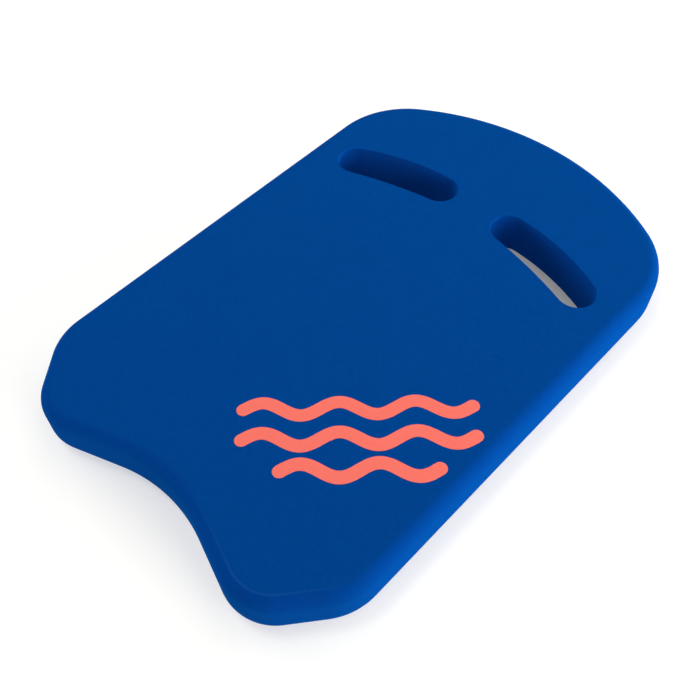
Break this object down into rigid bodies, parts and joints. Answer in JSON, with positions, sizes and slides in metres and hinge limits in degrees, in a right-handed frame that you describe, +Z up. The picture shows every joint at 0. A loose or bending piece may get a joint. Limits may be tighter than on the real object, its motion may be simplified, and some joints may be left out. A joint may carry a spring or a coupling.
{
  "type": "kickboard float",
  "caption": "Flat foam swimming kickboard with a rounded nose, a notched tail, rounded edges, curved hand slots cut through it and a printed wave graphic.",
  "frame": {"origin": "middle of the underside's bounding box, on the surface that the board lies on", "axes": "+Y along the board to its rounded nose, +X to the right-hand side seen from above with the nose away from the viewer, +Z up out of the printed face"},
  "size_m": [0.2856, 0.4299, 0.0345],
  "materials": {
    "eva_foam": "satin",
    "print_ink": "satin"
  },
  "bodies": {
    "root": {"foam_board": "eva_foam", "print_wave_front": "print_ink", "print_wave_middle": "print_ink", "print_wave_rear": "print_ink"}
  },
  "joints": []
}
